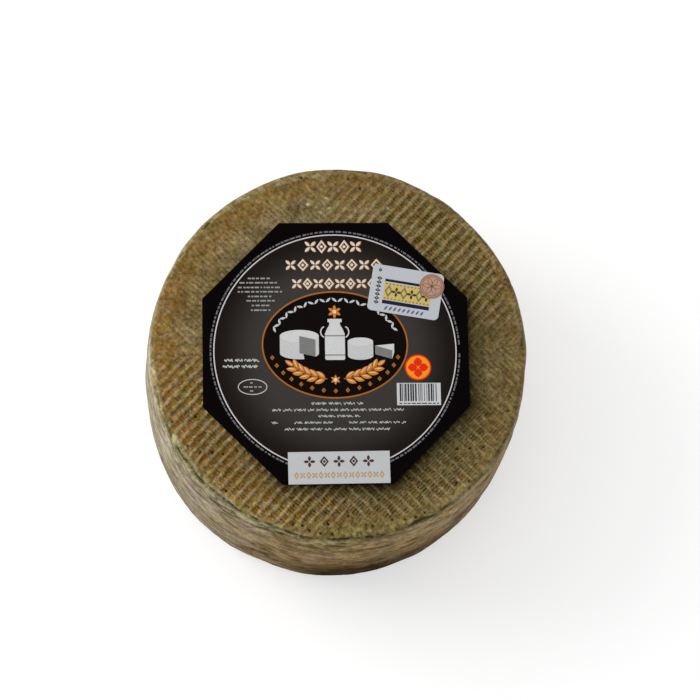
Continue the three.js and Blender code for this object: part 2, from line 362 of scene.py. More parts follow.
# The holes, on the upper face and along the side in rows
hole = np.where(above, np.exp(-((from_spots(HOLES) / HOLE_WIDE) ** 4)), 0) * facing
fleck = np.where(above, np.exp(-((from_spots(FLECKS, FLECK_FLAT) / FLECK_WIDE) ** 2)), 0)
dice = np.random.default_rng(21)
whole_turn = 2 * np.pi
turned = angle % whole_turn
for row_height, gap in SIDE_ROWS:
    row_count = int(whole_turn * RADIUS / gap)
    hole_at = np.arange(row_count) + dice.uniform(-0.45, 0.45, row_count)
    hole_at = np.sort(hole_at * whole_turn / row_count)
    hole_drop = dice.normal(0, 3.2, row_count)
    hole_wide = dice.uniform(0.6, 1.1, row_count)
    after = np.searchsorted(hole_at, turned)
    for nearest in ((after - 1) % row_count, after % row_count):
        run = np.angle(np.exp(1j * (turned - hole_at[nearest]))) * RADIUS / (1.6 * hole_wide[nearest])
        fall = (height - row_height - hole_drop[nearest]) / hole_wide[nearest]
        hole = np.maximum(hole, 0.75 * np.exp(-((run**2 + fall**2) ** 2)) * (1 - facing))

# The side: soft lumps from the woven band, and flaky wrinkles that run along it, deepest
# under the rim beside the crease
crease_open = here["crease_open"]
upper_side = np.where(above, rise(height, 60, 92), 0)
bent = form + 4 * np.stack([lumps(form, 13, seed) for seed in (31, 32, 33)], 1)
wrinkle = lumps(bent, (24, 24, 4.6), 12)
flake = lumps(bent, (14, 14, 3.1), 18)
crack = 1 - rise(np.minimum(np.abs(wrinkle), np.abs(flake) + 0.04), 0.02, 0.15)
crack *= 0.3 + 0.7 * upper_side * crease_open
side_relief = 0.4 * lumps(form, (12, 12, 8), 13) + 0.12 * lumps(form, (5, 5, 3.5), 14)
side_relief += (0.15 + 0.2 * upper_side * crease_open) * wrinkle - 0.5 * crack

# The crease, broken where it is less open, with a second one under it
mirrored = np.where(above, height, HEIGHT - height)
from_crease = np.hypot(profile[:, 0] - CREASE_AT[0], mirrored - CREASE_AT[1])
from_crease *= np.sign(profile[:, 0] - mirrored - CREASE_AT[0] + CREASE_AT[1])
lip = np.exp(-(((from_crease - LIP_DROP) / LIP_HALF) ** 2)) * np.clip(crease_open, 0, 1)
broken = rise(crease_open + 0.7 * lumps(form, 5, 16), 0.1, 0.8)
wander = 1.1 * lumps(form, 10, 15)
crease = np.exp(-(((from_crease + wander) / CREASE_HALF) ** 4)) * broken
second_broken = rise(crease_open + 0.9 * lumps(form, 7, 24), 0.6, 1.2)
second_place = from_crease - SECOND_CREASE_DROP + 1.8 * lumps(form, 11, 25)
second = np.exp(-((second_place / SECOND_CREASE_HALF) ** 4)) * second_broken
crease = np.maximum(crease, second)

relief = facing * face_relief + (1 - facing) * side_relief - HOLE_DEEP * hole
relief -= CREASE_DEPTH * crease
# Nothing under the label reaches its paper
relief = np.where((radius < 70) & above, np.minimum(relief, -0.02), relief)
out = np.column_stack([lean[:, :1] * round_it, lean[:, 1]])
wheel_points = form + out * relief[:, None]
wheel_points[:, 2] = np.clip(wheel_points[:, 2], 0, HEIGHT)
wheel_points[:, :2] += AXIS


def mesh_piece(name, points, faces, flat=True):
    """A mesh object at the origin from points in millimetres, riding on the one body."""
    mesh = bpy.data.meshes.new(name)
    mesh.from_pydata((np.asarray(points) * METRES).tolist(), [], faces, shade_flat=flat)
    made = bpy.data.objects.new(name, mesh)
    bpy.context.scene.collection.objects.link(made)
    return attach(made, "root")


wheel = mesh_piece("wheel_of_cheese", wheel_points, wheel_faces, flat=False)
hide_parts("cheese_wheel")

# How far each place is past the octagonal label's edges, for its shadow painted on the rind
half_label = (np.array(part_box("label")[1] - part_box("label")[0]) / METRES / 2)[:2]
from_label = (form[:, :2] - LABEL_FROM_AXIS) / half_label
edge_ways = np.radians(np.arange(0, 360, 45))
past_label = (from_label @ np.array([np.cos(edge_ways), np.sin(edge_ways)])).max(1) - 1
past_label = np.clip(past_label * half_label.mean(), 0, None)
painted_label_shadow = here["painted_label_shadow"] * np.exp(-((past_label / here["label_shadow_reach"]) ** 2)) * above
paler = here["rim_tone"] * rise(radius, 87, 94) + 0.08 * rise(radius, 91, 96)
# The face's tone, darkened by the label's painted shadow
face_tone = np.where(above, (here["tone"] + paler) * (1 - painted_label_shadow), 1)
on_side = np.where(
    above,
    rise(profile[:, 0], FACE_EDGE + 2.8, FACE_EDGE + 4),
    rise(profile[:, 0], FACE_EDGE - 1, FACE_EDGE + 1),
)
on_side = np.where(above & (facing > 0.98), 0, on_side)
unribbed_inside = (1 - rise(stand, 0.2, 0.6)) * (1 - rise(radius + 4 * lumps(form, 12, 22), 80, 93))
ochre = np.clip(here["ochre"] * (1 - 0.7 * unribbed_inside) + 0.25 * lumps(form, 15, 23), 0, 1)

# What the rind's finish reads at each point
FINISH_READS = {
    "stand": np.where(above, stand, 0.6) * facing,
    "rib_half": here["rib_half"],
    "ochre": ochre,
    "rungs": here["rungs"],
    "warm": here["warm"] * rise(radius + 3 * lumps(form, 9, 34), 82, 92),
    "rim": rise(radius, groove_end - 0.5, groove_end + 1.5) * (1 - on_side) * here["pale_rim"],
    "crumbled": crumbled * (1 - on_side),
    "fleck": fleck,
    "hole": hole,
    "crease": crease,
    "side": on_side,
    "brown": here["brown"],
    "rosy": here["rosy"],
    "painted_foot_shade": here["painted_foot_shade"],
    "lip": lip * above,
    "crack": crack * on_side,
    "cracked": 0.42 + 0.38 * upper_side * crease_open,
    "tone": face_tone * (1 - on_side) + here["side_tone"] * on_side,
}
for name, values in FINISH_READS.items():
    layer = wheel.data.attributes.new(name, "FLOAT", "POINT")
    layer.data.foreach_set("value", values.astype(np.float32))

# The pattern's own coordinates, worked out at each corner with the quarter of its face
corner_vertex = np.zeros(len(wheel.data.loops), np.int32)
wheel.data.loops.foreach_get("vertex_index", corner_vertex)
face_middle = np.zeros(len(wheel.data.polygons) * 3)
wheel.data.polygons.foreach_get("center", face_middle)
face_middle = face_middle.reshape(-1, 3)[:, :2] / METRES - AXIS
sides = np.zeros(len(wheel.data.polygons), np.int32)
wheel.data.polygons.foreach_get("loop_total", sides)
face_angle = np.repeat(np.arctan2(face_middle[:, 1], face_middle[:, 0]), sides)
counted = np.stack(weave(form[corner_vertex], face_angle), 1)
pattern = wheel.data.uv_layers.new(name="mould_pattern")
pattern.uv.foreach_set("vector", counted.ravel().astype(np.float32))


def linear(colour):
    """An sRGB hex colour as linear red, green, blue and alpha."""
    parts = [int(colour[i:i + 2], 16) / 255 for i in (0, 2, 4)]
    return [p / 12.92 if p <= 0.04045 else ((p + 0.055) / 1.055) ** 2.4 for p in parts] + [1]


def add(tree, kind, inputs, **settings):
    """Adds a node of a kind with its settings, and gives each named input a value or a link.
    Returns the node's outputs."""
    made = tree.nodes.new("ShaderNode" + kind)
    for name, value in settings.items():
        setattr(made, name, value)
    for key, value in inputs.items():
        if isinstance(value, bpy.types.NodeSocket):
            tree.links.new(value, made.inputs[key])
        elif isinstance(value, str):
            made.inputs[key].default_value = linear(value)
        else:
            made.inputs[key].default_value = value
    return made.outputs


def material(name, roughness, **inputs):
    """A new material of that name, with its tree and its main shader's inputs set."""
    made = bpy.data.materials.new(name)
    made.use_nodes = True
    shader = made.node_tree.nodes["Principled BSDF"]
    shader.inputs["Roughness"].default_value = roughness
    for key, value in inputs.items():
        shader.inputs[key.replace("_", " ")].default_value = value
    return made, made.node_tree, shader


A, B, OUT = 6, 7, 2  # the colour sockets of a mix node
SOFT = {"interpolation_type": "SMOOTHSTEP"}


def layered(under, *layers):
    """Colours laid over one another, as the finish was built up: each layer is a colour and the
    shares that multiply to how much of it shows, the first of them a node's output."""
    tree = layers[0][1].id_data
    for over, showing, *more in layers:
        for share in more:
            showing = add(tree, "Math", {0: showing, 1: share}, operation="MULTIPLY")[0]
        under = add(tree, "Mix", {0: showing, A: under, B: over}, data_type="RGBA")[OUT]
    return under


# Dry aged rind, rubbed with oil: a soft, broken sheen, pale on the ribs and sides where it has
# been handled and dusted, and ochre to dark olive in the grooves
rind, rind_tree, rind_shader = material("aged_rind", 0.75, Specular_IOR_Level=0.01)
read = {
    name: add(rind_tree, "Attribute", {}, attribute_name=name)["Fac"] for name in FINISH_READS
}
rind_place = add(rind_tree, "TexCoord", {})["Object"]
streak_place = add(rind_tree, "Mapping", {"Vector": rind_place, "Scale": (1, 1, 2)})[0]
crack_place = add(rind_tree, "Mapping", {"Vector": rind_place, "Scale": (1, 1, 4.5)})[0]


def patches(many, detail, low, high, most=1, at=rind_place):
    """Soft random patches on the rind, that many to a metre: 700 gives grit of 1.4 mm and 60
    gives stains of 17 mm. They are 0 where the noise is under low, and most where it is over
    high."""
    cloud = add(
        rind_tree, "TexNoise", {"Vector": at, "Scale": many, "Detail": detail, "Roughness": 0.62},
    )
    return add(
        rind_tree, "MapRange",
        {"Value": cloud["Fac"], "From Min": low, "From Max": high, "To Max": most},
    )[0]


# Where the ribs and rungs of the pattern lie, with ragged edges. A rib lies at each whole number
# of the pattern's y, and rib_gap becomes the millimetres to the nearest one.
grit = patches(700, 3, 0.3, 0.7)
count = add(rind_tree, "SeparateXYZ", {0: add(rind_tree, "UVMap", {}, uv_map="mould_pattern")[0]})
ragged, wobble, rung_sway = (
    add(rind_tree, "MapRange", {"Value": cloud, "To Min": -reach, "To Max": reach})[0]
    for cloud, reach in ((grit, 0.09), (patches(190, 2, 0.3, 0.7), 0.05), (grit, 0.22))
)
wobble = add(rind_tree, "Math", {0: ragged, 1: wobble}, operation="ADD")[0]
rib_at = add(rind_tree, "Math", {0: count["Y"], 1: wobble}, operation="ADD")[0]
rib_gap = add(rind_tree, "Math", {0: rib_at, 1: 0.5}, operation="PINGPONG")[0]
rib_gap = add(rind_tree, "Math", {0: rib_gap, 1: MEAN_PITCH}, operation="MULTIPLY")[0]
rib_foot = add(rind_tree, "Math", {0: read["rib_half"], 1: 0.6}, operation="ADD")[0]
band = add(rind_tree, "MapRange", {0: rib_gap, 1: read["rib_half"], 2: rib_foot}, **SOFT)[0]
band = add(rind_tree, "Math", {0: band, 1: read["stand"]}, operation="MULTIPLY")[0]
rung_at = add(rind_tree, "Math", {0: count["X"], 1: rung_sway}, operation="ADD")[0]
rung_gap = add(rind_tree, "Math", {0: rung_at, 1: 0.5}, operation="PINGPONG")[0]
between_rungs, notch, on_rung = (
    add(rind_tree, "MapRange", {0: rung_gap, 1: start, 2: end}, **SOFT)[0]
    for start, end in ((0.12, 0.34), (0.2, 0.42), (0.3, 0.1))
)
pit = add(rind_tree, "Math", {0: between_rungs, 1: read["rungs"]}, operation="MULTIPLY")[0]
for share in (band, patches(260, 3, 0.4, 0.58)):
    pit = add(rind_tree, "Math", {0: pit, 1: share}, operation="MULTIPLY")[0]

# Fine dark lines halfway from the ribs to the middles of the grooves, where the ribs are worn
line = add(rind_tree, "Math", {0: rib_gap, 1: MEAN_PITCH / 4}, operation="SUBTRACT")[0]
line = add(rind_tree, "Math", {0: line}, operation="ABSOLUTE")[0]
line = add(rind_tree, "MapRange", {0: line, 1: 0.48, 2: 0.1}, **SOFT)[0]
unribbed = add(rind_tree, "Math", {0: 1.0, 1: read["stand"]}, operation="SUBTRACT")[0]
for share in (patches(160, 3, 0.36, 0.54), unribbed):
    line = add(rind_tree, "Math", {0: line, 1: share}, operation="MULTIPLY")[0]

# The face between the ribs and where they have worn away: blotched, stained and scarred
face = layered(
    layered("463920", ("644619", read["ochre"])),
    (layered("867556", ("917648", read["ochre"])), patches(60, 4, 0.36, 0.64)),
    ("7b5620", patches(38, 5, 0.46, 0.66), read["ochre"]),
    ("827a42", patches(55, 4, 0.5, 0.64, 0.36)),
    ("6e4a20", patches(130, 5, 0.56, 0.7, 0.6)),
    ("57320f", patches(85, 5, 0.6, 0.67, 0.6), read["ochre"]),
    ("3a2c12", line, 0.8),
)
rib_tone = layered(
    "807552",
    ("8c7e5c", read["ochre"]),
    ("6b5f35", patches(140, 3, 0.42, 0.62, 0.55)),
    ("866a32", patches(95, 4, 0.5, 0.62, 0.5), read["ochre"]),
)
thread_tone = layered("7b6e44", ("8a611a", read["ochre"]))
groove_tone = layered(
    "5f5130",
    ("74500f", read["ochre"]),
    ("6f3d16", patches(170, 3, 0.5, 0.62, 0.45)),
    ("595a20", patches(110, 3, 0.52, 0.66, 0.5)),
    (thread_tone, on_rung, read["rungs"], patches(300, 2, 0.4, 0.6, 0.55)),
)
rim_tone = layered("5f5a34", ("a7a17e", patches(180, 4, 0.4, 0.6)))
crumb_gap = patches(330, 4, 0.54, 0.62)
crumb_tone = layered(
    "4c4520",
    ("7e7342", patches(300, 3, 0.42, 0.58)),
    ("75481c", patches(170, 3, 0.54, 0.62, 0.6)),
    ("2a210a", crumb_gap, 0.85),
)
bloom = add(rind_tree, "Math", {0: read["ochre"], 1: 0.36, 2: 0.08}, operation="MULTIPLY_ADD")[0]
ribbed = layered(
    face,
    (rib_tone, read["stand"]),
    ("5c4d24", notch, read["stand"], read["rungs"], 0.35),
    (groove_tone, band),
    ("2d1f0a", pit, 0.95),
    ("5f6424", patches(150, 4, 0.52, 0.68, 0.36)),
    ("2f240d", patches(800, 2, 0.56, 0.66, 0.55)),
    ("a39c84", patches(640, 2, 0.6, 0.7), bloom),
    ("8d8470", patches(270, 4, 0.5, 0.68), bloom),
    ("70501f", patches(190, 5, 0.3, 0.7), read["warm"]),
    (rim_tone, read["rim"], 0.85),
    (crumb_tone, read["crumbled"], 0.75),
    ("c4bca0", read["fleck"], 0.7),
)

# Thin dark cracks along the side: where either of two stretched noises is near its middle
thin = []
for many, detail, middle, more in ((48, 4, 0.5, 0), (70, 3, 0.52, 0.012)):
    off = add(
        rind_tree, "Math", {0: patches(many, detail, 0, 1, 1, crack_place), 1: middle},
        operation="SUBTRACT",
    )[0]
    off = add(rind_tree, "Math", {0: off}, operation="ABSOLUTE")[0]
    thin.append(add(rind_tree, "Math", {0: off, 1: more}, operation="ADD")[0])
thin = add(rind_tree, "Math", {0: thin[0], 1: thin[1]}, operation="MINIMUM")[0]
thin = add(rind_tree, "MapRange", {0: thin, 1: 0.032, 2: 0.004}, **SOFT)[0]
for share in (patches(90, 3, 0.34, 0.5), read["cracked"]):
    thin = add(rind_tree, "Math", {0: thin, 1: share}, operation="MULTIPLY")[0]

# The side: chalky or brown in streaks, with rosy bloom, specks, cracks, and painted shade
# darkening its foot towards the floor
above_floor = add(rind_tree, "Math", {
    0: patches(70, 3, 0.3, 0.7), 1: 0.016, 2: add(rind_tree, "SeparateXYZ", {0: rind_place})["Z"],
}, operation="MULTIPLY_ADD")[0]
low_down = add(rind_tree, "MapRange", {0: above_floor, 1: 0.077, 2: 0.022}, **SOFT)[0]
streak = patches(80, 3, 0.36, 0.64, at=streak_place)
pale_side = layered(
    "796f55",
    ("b7af9c", streak),
    ("a29a94", patches(60, 3, 0.5, 0.64, 0.5)),
    ("8c8452", patches(45, 4, 0.54, 0.66, 0.6)),
)
brown_side = layered(
    "573e1c",
    ("a88e63", streak),
    ("958270", patches(60, 4, 0.52, 0.66, 0.45)),
    ("7c7034", patches(42, 4, 0.53, 0.64, 0.5)),
)
side = layered(
    pale_side,
    (brown_side, read["brown"]),
    ("9a8a74", patches(45, 4, 0.38, 0.62), read["rosy"]),
    ("7c5029", patches(120, 4, 0.55, 0.68, 0.36, streak_place)),
    ("5c5a36", patches(75, 4, 0.56, 0.68, 0.36, streak_place)),
    ("aaa37d", patches(110, 4, 0.4, 0.58), read["lip"]),
    ("3a361f", read["crack"], 0.8),
    ("37311a", thin, 0.85),
    # Painted shade low on the side where it meets the floor, strongest in front
    (layered("201404", ("3c2a10", patches(110, 4, 0.4, 0.6))), low_down, read["painted_foot_shade"]),
)
whole = layered(
    ribbed,
    (side, read["side"]),
    ("2c240e", patches(220, 3, 0.33, 0.52, 0.92), read["crease"]),
    ("1a1206", read["hole"]),
)

# A fine grain over all of it, half as strong on the side, and the tone round the wheel, which
# holds the label's painted shadow
speck = patches(420, 4, 0.3, 0.7)
grain_reach = add(rind_tree, "MapRange", {"Value": read["side"], "To Min": 1.0, "To Max": 0.5})[0]
grain = add(rind_tree, "Math", {0: speck, 1: 0.5}, operation="SUBTRACT")[0]
grain = add(rind_tree, "Math", {0: grain, 1: grain_reach, 2: 1.0}, operation="MULTIPLY_ADD")[0]
grain = add(rind_tree, "Math", {0: grain, 1: read["tone"]}, operation="MULTIPLY")[0]
whole = add(
    rind_tree, "Mix", {0: 1.0, A: whole, B: grain}, data_type="RGBA", blend_type="MULTIPLY",
)[OUT]
rind_tree.links.new(whole, rind_shader.inputs["Base Color"])

# How high each of these stands or how deep it lies, as shares of half a millimetre
crumb_pit = add(rind_tree, "Math", {0: crumb_gap, 1: read["crumbled"]}, operation="MULTIPLY")[0]
side_crack = add(rind_tree, "Math", {0: thin, 1: read["side"]}, operation="MULTIPLY")[0]
stands = 0.0
for mark, share in (
    (speck, 0.35), (pit, -0.9), (line, -0.4), (grit, 0.3), (crumb_pit, -0.8), (side_crack, -0.6),
):
    stands = add(rind_tree, "Math", {0: mark, 1: share, 2: stands}, operation="MULTIPLY_ADD")[0]
bump = add(rind_tree, "Bump", {"Height": stands, "Strength": 0.7, "Distance": 0.5 * METRES})[0]
rind_tree.links.new(bump, rind_shader.inputs["Normal"])
wheel.data.materials.append(rind)


# The label
# An octagon of coated black paper, glued flat on the tops of the ribs. Its print is flat ink: a
# dark grey field that fades towards a silver ring, with plain ornaments, waves and dashes.
INK = 0.03  # each layer of ink stands this far above the one below
SUNK = 0.05  # and all of them start this far down in the paper
FIELD_PALE = 38  # the radius where the grey field starts to fade
FIELD_EDGE = 64.3
RING = 64.65
RING_HALF = 0.31
RING_MIDDLE = np.array([-0.35, 0.5])  # printed a little off the middle of the label

paper, paper_tree, paper_shader = material("coated_black_paper", 0.42, Specular_IOR_Level=0.01)
place = add(paper_tree, "TexCoord", {})["Object"]
field_middle = (middle_of("label")[:2] + RING_MIDDLE) * METRES
centred = add(paper_tree, "Mapping", {"Vector": place, "Location": (*-field_middle, 0)})[0]
flat_place = add(paper_tree, "VectorMath", {0: centred, 1: (1, 1, 0)}, operation="MULTIPLY")[0]
from_middle = add(paper_tree, "VectorMath", {0: flat_place}, operation="LENGTH")["Value"]
field_edge = FIELD_EDGE * METRES
fade = add(paper_tree, "MapRange", {0: from_middle, 1: FIELD_PALE * METRES, 2: field_edge}, **SOFT)[0]
outside = add(paper_tree, "Math", {0: from_middle, 1: field_edge}, operation="GREATER_THAN")[0]
tooth = add(paper_tree, "TexNoise", {"Vector": place, "Scale": 1500, "Detail": 2})["Fac"]
tone = layered("3a3734", ("1a1513", fade), ("1c1918", tooth, 0.3), ("080506", outside))
paper_tree.links.new(tone, paper_shader.inputs["Base Color"])
tooth_bump = add(paper_tree, "Bump", {"Height": tooth, "Strength": 0.2, "Distance": 0.1 * METRES})[0]
paper_tree.links.new(tooth_bump, paper_shader.inputs["Normal"])
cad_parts["label"].material_slots[0].material = paper


def coated(name, dark, light, roughness=0.5, shine=0.5, metal=0.0):
    """A printed or plain paper finish: two close tones of one colour in a fine tooth."""
    made, tree, shader = material(name, roughness, Specular_IOR_Level=shine, Metallic=metal)
    place = add(tree, "TexCoord", {})["Object"]
    tooth = add(tree, "TexNoise", {"Vector": place, "Scale": 1200, "Detail": 3})["Fac"]
    tree.links.new(layered(dark, (light, tooth)), shader.inputs["Base Color"])
    return made


def stroke(path, half, closed=False):
    """A band along a path: each point is moved to its left and to its right, square to the path,
    by half the band's width there."""
    path = np.asarray(path, float)
    run = np.roll(path, -1, 0) - np.roll(path, 1, 0) if closed else np.gradient(path, axis=0)
    square = run @ np.array([[0, 1], [-1, 0]])
    square *= np.reshape(half, (-1, 1)) / np.linalg.norm(run, axis=1, keepdims=True)
    return path + square, path - square, closed


def arc(middle, axes, first, last, points):
    """Points on an oval from one angle in degrees to another, without the last on a full turn."""
    angle = np.radians(np.linspace(first, last, points, endpoint=last - first < 360))
    return middle + axes * np.stack([np.cos(angle), np.sin(angle)], 1)


def placed(points, middle, turn):
    """Points turned about the origin by degrees, then moved to a middle."""
    cos, sin = math.cos(math.radians(turn)), math.sin(math.radians(turn))
    return np.asarray(points) @ np.array([[cos, sin], [-sin, cos]]) + middle


def oval(middle, axes, points=33):
    """A filled oval: a band whose half width is the upright axis times sqrt(1 - t^2)."""
    t = -np.cos(np.linspace(0, np.pi, points))
    path = middle + np.stack([t * axes[0], 0 * t], 1)
    return stroke(path, axes[1] * np.sqrt(np.clip(1 - t * t, 1e-4, 1)))


def box(left, right, low, high):
    """A filled rectangle."""
    middle = (low + high) / 2
    return stroke([(left, middle), (right, middle)], (high - low) / 2)


def leaf(middle, long, wide, turn, points=11):
    """A pointed leaf: a band along a line whose half width is wide / 2 times 1 - t^2."""
    t = np.linspace(-1, 1, points)
    path = placed(np.stack([t * long / 2, 0 * t], 1), middle, turn)
    return stroke(path, wide / 2 * (1 - t * t) + 0.02)


def lozenge(middle, across, upright, line):
    """A lozenge's outline: a closed band between it and a smaller one, a line's width inside."""
    corners = np.array([(1, 0), (0, 1), (-1, 0), (0, -1)])
    outer = np.array([across, upright]) / 2
    inner = outer * (1 - line * math.hypot(*outer) / (outer[0] * outer[1]))
    return middle + corners * inner, middle + corners * outer, True


def flower(middle, wide, petals, plump=0.36, turn=0):
    """Leaves round a point, each reaching from near it to half the flower's width."""
    made = []
    for way in turn + np.arange(petals) * 360 / petals:
        tip = wide / 2 * np.array([math.cos(math.radians(way)), math.sin(math.radians(way))])
        made.append(leaf(middle + tip * 0.54, wide * 0.46, wide * plump / 2, way))
    return made


def wave(left, right, height, tall, line):
    """A fine running wave between two places, broken into runs of seeded lengths."""
    made = []
    while right - left > 1.6:
        length = min(right - left, dice.uniform(3, 9))
        x = np.linspace(left, left + length, max(7, int(length * 8)))
        swing = (0.72 + 0.28 * np.sin(2.3 * x + left)) * np.sin(x * 5.2 + 1.6 * np.sin(1.9 * x))
        y = height + (tall - line) / 2 * swing
        made.append(stroke(np.stack([x, y], 1), line / 2))
        left += length + 1.1
    return made


def dashes(left, right, height, tall):
    """A broken line between two places, with dashes of seeded lengths."""
    made = []
    while right - left > 0.8:
        length = min(right - left, dice.uniform(0.8, 3))
        made.append(box(left, left + length, height - tall / 2, height + tall / 2))
        left += length + dice.uniform(0.35, 0.9)
    return made


def printed(name, shapes, level, ink, sheet="label", turn=0):
    """One piece of ink on a sheet of paper: a thin closed plate for each shape, drawn about the
    sheet's middle and turned with it. A shape is two curves and whether they close on themselves,
    and a plate has both on top and again below, with quads between them all round."""
    points, faces = [], []
    middle, paper_top = middle_of(sheet)[:2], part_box(sheet)[1][2] / METRES
    for *curves, closed in shapes:
        count, start = len(curves[0]), sum(map(len, points))
        curves = [placed(curve, middle, turn) for curve in curves]
        for height in (paper_top + INK * level, paper_top - SUNK):
            points += [np.column_stack([curve, np.full(count, height)]) for curve in curves]
        now = start + np.arange(count if closed else count - 1)
        then = start + (now - start + 1) % count
        a, b, c, d = (now + count * row for row in range(4))
        a2, b2, c2, d2 = (then + count * row for row in range(4))
        for quad in ((a, b, b2, a2), (c2, d2, d, c), (a2, c2, c, a), (b, d, d2, b2)):
            faces += np.stack(quad, 1).tolist()
        if not closed:
            first, last = start + count * np.arange(4), start + count * np.arange(1, 5) - 1
            faces += [first[[0, 2, 3, 1]].tolist(), last[[1, 3, 2, 0]].tolist()]
    made = mesh_piece(name, np.concatenate(points), faces)
    made.data.materials.append(ink)
    return made


# Offset inks on the coated paper: flat and even, the pale ones with a faint sheen
silver = coated("silver_ink", "a9a8a6", "c9c8c6", 0.4)
grey = coated("grey_ink", "747472", "8e8e8c")
cream = coated("cream_ink", "c2b8a5", "d0c7b6")
orange = coated("orange_ink", "8c4e16", "a05e1e", shine=0.2)
black = coated("black_ink", "0b0808", "120e0d", 0.42, 0.01)
pale_grey = coated("pale_grey_ink", "a4a5a4", "bfc0bf")
mid_grey = coated("mid_grey_ink", "5c5c5b", "747473")
dim_grey = coated("dim_grey_ink", "4c4b50", "66656a")
white = coated("white_ink", "b0b1b0", "c6c7c6")
box_white = coated("white_ink_box", "aeb0b2", "bcbec0")
gold = coated("gold_ink", "b0661a", "c87c26", shine=0.2)
dark = coated("dark_ink", "1c1a1c", "2a2829", shine=0.1)
bright_orange = coated("bright_orange_ink", "dc8008", "ea920e", shine=0.1)
red = coated("red_ink", "cc1e0a", "dc2a10", shine=0.1)
dice = np.random.default_rng(5)

# The ring, and a broken line of fine print outside it
FINE_RING = RING + 1.8
FINE_RING_HALF = 0.42
ring_path = arc(RING_MIDDLE, RING, 0, 360, 180)
printed("print_ring", [stroke(ring_path, RING_HALF, True)], 1, silver)
fine_line, way = [], 3.0
while way < 357:
    reach = dice.uniform(0.6, 2.6)
    fine_line.append(stroke(arc(RING_MIDDLE, FINE_RING, way, way + reach, 6), FINE_RING_HALF))
    way += reach + dice.uniform(0.3, 0.9)
printed("print_fine_line", fine_line, 1, dim_grey)

# Three rows of ornaments at the top, cream with an orange edge: flowers and lozenges in turn.
# Each row: how many, left and right end, height above the label's middle, and how tall.
HEADING_ROWS = [
    (5, -15.9, 14.6, 58.6, 7.4), (8, -26.8, 25.9, 48.4, 6.7), (8, -23.2, 23, 38, 6.5),
]
EDGE_SHIFT = (0.25, -0.1)
EDGE_WIDER = 0.5
heading, edges = [], []
for cells, row_left, row_right, row_height, tall in HEADING_ROWS:
    cell_wide = (row_right - row_left) / cells
    for cell in range(cells):
        spot = np.array([row_left + (cell + 0.5) * cell_wide, row_height])
        if cell % 2 == 0:
            heading += flower(spot, tall * 1.08, 4, 0.38, 45)
            edges += flower(spot + EDGE_SHIFT, tall * 1.08 + EDGE_WIDER, 4, 0.46, 45)
        else:
            lozenge_wide = cell_wide * 0.9
            heading += [lozenge(spot, lozenge_wide, tall, 0.78), oval(spot, (0.8, 0.8), 13)]
            edge_size = lozenge_wide + EDGE_WIDER, tall + EDGE_WIDER
            edges.append(lozenge(spot + EDGE_SHIFT, *edge_size, 1.18))
printed("print_heading_edges", edges, 1, orange)
printed("print_heading", heading, 2, cream)

# The oval: an orange rim round a black field
OVAL_AXES = np.array([38.7, 29.2])
OVAL_MIDDLE = np.array([-0.4, 4.2])
rim_path = arc(OVAL_MIDDLE, OVAL_AXES, 0, 360, 144)
printed("print_oval_field", [oval(OVAL_MIDDLE, OVAL_AXES, 97)], 1, black)
printed("print_oval_rim", [stroke(rim_path, 0.42, True)], 2, orange)

# In the oval: leaves along the top, small lozenges along the bottom, and inside those two ears of
# grain bent to a wreath, with a flower where they meet and one near the top
WREATH_AXES = np.array([28.4, 19])
WREATH_FLOWERS = [((-0.4, -15.1), 5.4), ((-0.4, 22.4), 7.4)]
garland = []
garland_spots = arc(OVAL_MIDDLE, OVAL_AXES - 4.4, 20, 160, 27)
for number, (spot, way) in enumerate(zip(garland_spots, np.linspace(20, 160, 27))):
    garland.append(leaf(spot, 3.5, 1.2, way - 90 + 40 * (-1) ** number))
printed("print_garland", garland, 2, pale_grey)
stud_spots = arc(OVAL_MIDDLE, OVAL_AXES - 3.8, 196, 344, 15)
studs = [lozenge(spot, 2.4, 2.8, 0.7) for spot in stud_spots]
ears, shine = [], []
for hand in (-1, 1):
    stem = arc(OVAL_MIDDLE, WREATH_AXES, 270 + hand * 9, 270 + hand * 54, 33)
    studs.append(stroke(stem, 0.28))
    for number in (2, 8, 14, 20, 26):
        ahead = stem[number + 1] - stem[number]
        way = math.degrees(math.atan2(ahead[1], ahead[0]))
        for lift in (-1, 1):
            spot = placed([(2.3, lift * 1.8)], stem[number], way)[0]
            ears.append(leaf(spot, 6, 2.5, way + lift * 30))
            shine.append(leaf(spot + (-0.2, 0.3), 4.4, 0.42, way + lift * 30))
    tip = placed([(1.8, 0)], stem[-1], way)[0]
    ears.append(leaf(tip, 5.6, 2.3, way))
    shine.append(leaf(tip, 4.2, 0.42, way))
for spot, wide in WREATH_FLOWERS:
    ears += flower(np.array(spot), wide, 6, 0.42, 30)
    shine.append(oval(spot, (1.0, 1.0), 17))
printed("print_studs", studs, 2, orange)
printed("print_grain", ears, 2, gold)
printed("print_grain_shine", shine, 3, cream)

# Over the wreath, side by side: a low cut cheese, a churn, a small round cheese and a wedge
CUT_MIDDLE, CUT_AXES, CUT_DEEP = np.array([-19.4, 9]), np.array([10.4, 3.4]), np.array([0, -9.4])
NOTCH = (285, 325)  # degrees round its rim
SMALL_MIDDLE, SMALL_AXES, SMALL_DEEP = np.array([13.2, 5.8]), np.array([6.8, 2.3]), (0, -7.7)
WEDGE = np.array([(21, 3.6), (31.2, 4.6), (30, 1)])  # back left, back right and front right
WEDGE_DEEP = np.array([0, -4.8])
CHURN_FOOT = -4.2  # below the label's middle
CHURN_AT, CHURN_SCALE = -0.4, 1.4
CHURN_HEIGHTS = np.array([0, 0.5, 10.2, 12.2, 13.7, 14.8, 14.9, 16.1, 16.2])
CHURN_HALF = np.array([3.4, 3.8, 3.8, 3, 2.1, 2, 2.7, 2.7, 1.3])


def drum(middle, axes, deep):
    """The visible side of a low round thing: a band between its upper rim's near half and the
    same curve lower down."""
    near = arc(middle, axes, 180, 360, 33)
    return near, near + deep, False


